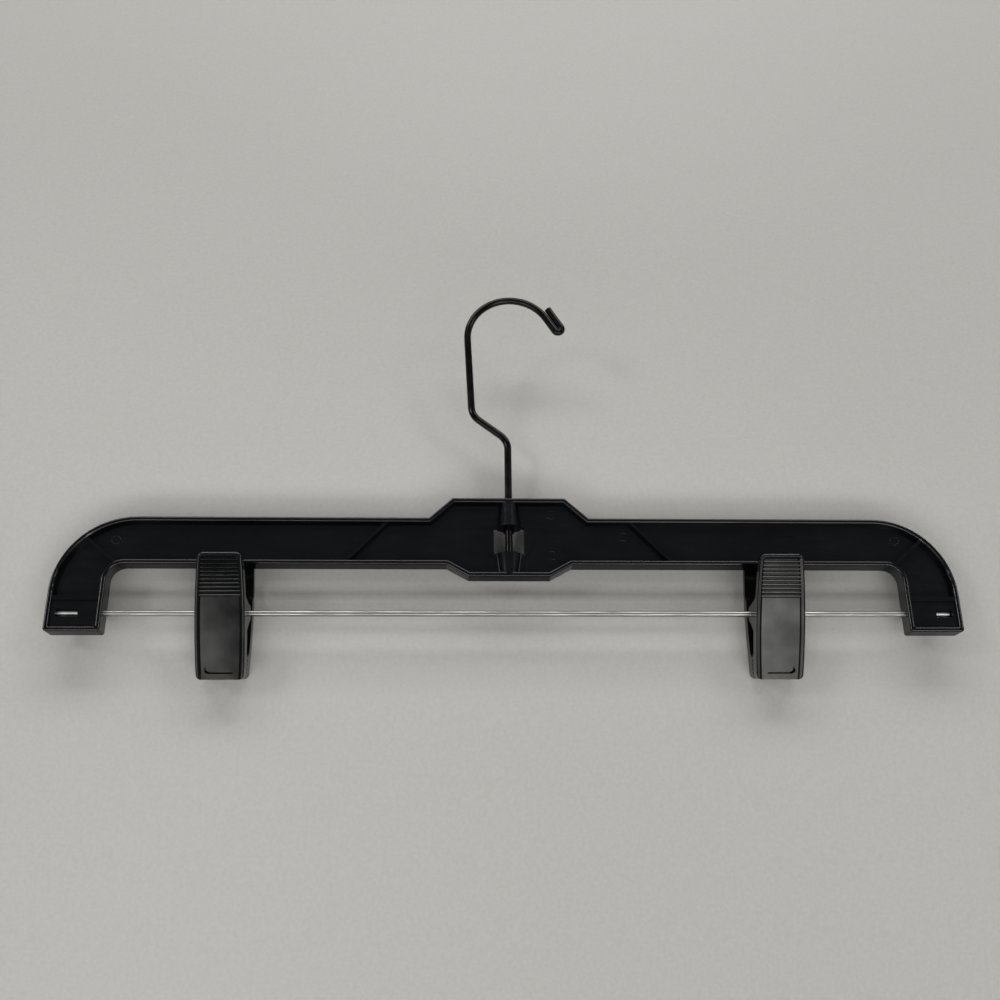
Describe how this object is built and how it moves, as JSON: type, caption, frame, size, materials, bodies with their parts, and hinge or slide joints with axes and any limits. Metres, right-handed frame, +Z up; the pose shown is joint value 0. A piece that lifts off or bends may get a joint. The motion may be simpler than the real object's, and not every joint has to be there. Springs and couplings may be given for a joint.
{
  "type": "skirt hanger",
  "caption": "Slim moulded skirt hanger with a swivelling wire hook and sprung pinch clips that slide along a steel rod under the bar.",
  "frame": {"origin": "on the hook's swivel axis, where the crown's inner face rests on the rail", "axes": "+X along the bar to the picture's right, +Y to the back, +Z up, as it hangs"},
  "size_m": [0.3556, 0.0292, 0.168],
  "materials": {
    "bar_plastic": "glossy black moulding",
    "clip_plastic": "satin black moulding",
    "hook_wire": "black lacquered wire",
    "rod_steel": "bright drawn wire",
    "spring_steel": "spring wire"
  },
  "bodies": {
    "bar": {"hanger_body": "bar_plastic", "rod": "rod_steel"},
    "hook": {"hook": "hook_wire"},
    "left_spring": {"left_spring": "spring_steel"},
    "left_back_jaw": {"left_back_jaw": "clip_plastic"},
    "left_front_jaw": {"left_front_jaw": "clip_plastic"},
    "right_spring": {"right_spring": "spring_steel"},
    "right_back_jaw": {"right_back_jaw": "clip_plastic"},
    "right_front_jaw": {"right_front_jaw": "clip_plastic"}
  },
  "joints": [
    {"name": "hook_swivel", "type": "hinge", "parent": "bar", "child": "hook", "pos_m": [0, 0, -0.0921], "axis": [0, 0, 1], "continuous": true},
    {"name": "left_clip_slide", "type": "slide", "parent": "bar", "child": "left_spring", "axis": [1, 0, 0], "range_m": [-0.0363, 0.0943]},
    {"name": "left_clip_rock", "type": "hinge", "parent": "left_spring", "child": "left_back_jaw", "pos_m": [-0.1103, 0, -0.1392], "axis": [1, 0, 0], "range_deg": [-13, 2], "deforming": ["left_spring"]},
    {"name": "left_clip_squeeze", "type": "hinge", "parent": "left_back_jaw", "child": "left_front_jaw", "pos_m": [-0.1103, 0, -0.1392], "axis": [-1, 0, 0], "range_deg": [0, 15], "stiffness_Nm_per_rad": 0.012, "springref_deg": -57.3, "deforming": ["left_spring"]},
    {"name": "right_clip_slide", "type": "slide", "parent": "bar", "child": "right_spring", "axis": [1, 0, 0], "range_m": [-0.0883, 0.0423]},
    {"name": "right_clip_rock", "type": "hinge", "parent": "right_spring", "child": "right_back_jaw", "pos_m": [0.1043, 0, -0.1392], "axis": [1, 0, 0], "range_deg": [-13, 2], "deforming": ["right_spring"]},
    {"name": "right_clip_squeeze", "type": "hinge", "parent": "right_back_jaw", "child": "right_front_jaw", "pos_m": [0.1043, 0, -0.1392], "axis": [-1, 0, 0], "range_deg": [0, 15], "stiffness_Nm_per_rad": 0.012, "springref_deg": -57.3, "deforming": ["right_spring"]}
  ]
}
